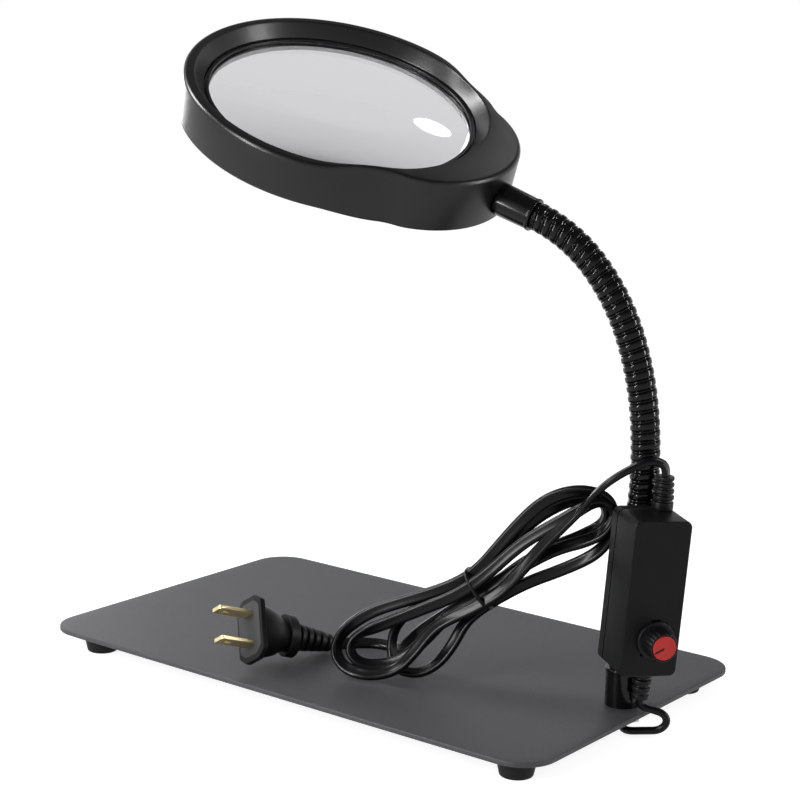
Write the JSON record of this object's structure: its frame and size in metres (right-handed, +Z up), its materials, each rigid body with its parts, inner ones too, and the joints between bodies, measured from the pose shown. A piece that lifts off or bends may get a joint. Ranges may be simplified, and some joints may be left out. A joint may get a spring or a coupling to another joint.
{
  "type": "gooseneck magnifier lamp",
  "caption": "Round lit magnifying lens in a dished head on a black gooseneck that stands on a flat rectangular plate, with a dimmer box and a bundled mains cord.",
  "frame": {"origin": "floor point under the centre of the lamp's bounding box, without the free cord and plug", "axes": "+X along the plate towards the post, +Y from the user's side to the back, +Z up"},
  "size_m": [0.2718, 0.1636, 0.2658],
  "materials": {
    "plate_paint": "matt fine-textured powder coat",
    "black_metal": "gloss black",
    "neck_black": "gloss black, semi-soft touch",
    "steel": "bright zinc",
    "rubber_black": "matt",
    "case_plastic": "fine matt grain",
    "head_plastic": "satin",
    "knob_plastic": "gloss",
    "cap_coral": "matt",
    "lens_glass": "polished",
    "diffuser_milky": "milky satin",
    "board_green": "solder mask",
    "parts_grey": "matt",
    "led_yellow": "phosphor",
    "cord_black": "smooth flexible sheath",
    "plug_plastic": "satin",
    "blade_brass": "bright"
  },
  "bodies": {
    "base": {"base_plate": "plate_paint", "rubber_feet": "rubber_black", "lower_ferrule": "black_metal", "post_washer": "steel", "post_nut": "steel", "gooseneck_stem": "neck_black", "case_front": "case_plastic", "case_rear": "case_plastic", "case_screws": "steel", "case_strap": "black_metal", "strap_screws": "steel", "driver_board": "board_green", "driver_parts": "parts_grey", "potentiometer": "parts_grey", "mains_strain_relief": "cord_black", "output_strain_relief": "cord_black", "output_cable": "cord_black", "mains_cord": "cord_black", "cord_hank": "cord_black", "cord_tie": "cord_black", "mains_cord_tail": "cord_black", "plug_body": "plug_plastic", "plug_blades": "blade_brass"},
    "knob": {"pot_shaft": "steel", "dimmer_knob": "knob_plastic", "knob_cap": "cap_coral"},
    "neck_1": {"gooseneck_1": "neck_black"},
    "neck_2": {"gooseneck_2": "neck_black"},
    "neck_3": {"gooseneck_3": "neck_black"},
    "head": {"gooseneck_tip": "neck_black", "upper_ferrule": "black_metal", "ferrule_nut": "steel", "head_housing": "head_plastic", "head_cover": "head_plastic", "handle_cover": "head_plastic", "head_screws": "steel", "lens": "lens_glass", "lens_ring": "head_plastic", "led_board": "board_green", "leds": "led_yellow", "light_diffuser": "diffuser_milky"}
  },
  "joints": [
    {"name": "bend_low", "type": "hinge", "parent": "base", "child": "neck_1", "pos_m": [0.10728, 0.00917, 0.10385], "axis": [-0.2079, 0.9781, 0], "range_deg": [-25, 25]},
    {"name": "swing_low", "type": "hinge", "parent": "neck_1", "child": "neck_2", "pos_m": [0.10443, 0.00856, 0.13366], "axis": [0.958, 0.2036, 0.2018], "range_deg": [-30, 30]},
    {"name": "bend_high", "type": "hinge", "parent": "neck_2", "child": "neck_3", "pos_m": [0.09499, 0.00656, 0.16196], "axis": [-0.2079, 0.9781, 0], "range_deg": [-25, 25]},
    {"name": "swing_high", "type": "hinge", "parent": "neck_3", "child": "head", "pos_m": [0.07687, 0.0027, 0.18531], "axis": [0.6174, 0.1312, 0.7756], "range_deg": [-30, 30]},
    {"name": "dimmer_turn", "type": "hinge", "parent": "base", "child": "knob", "pos_m": [0.12554, -0.00898, 0.04393], "axis": [0.8077, -0.5881, -0.0432], "range_deg": [-267, 33]}
  ]
}
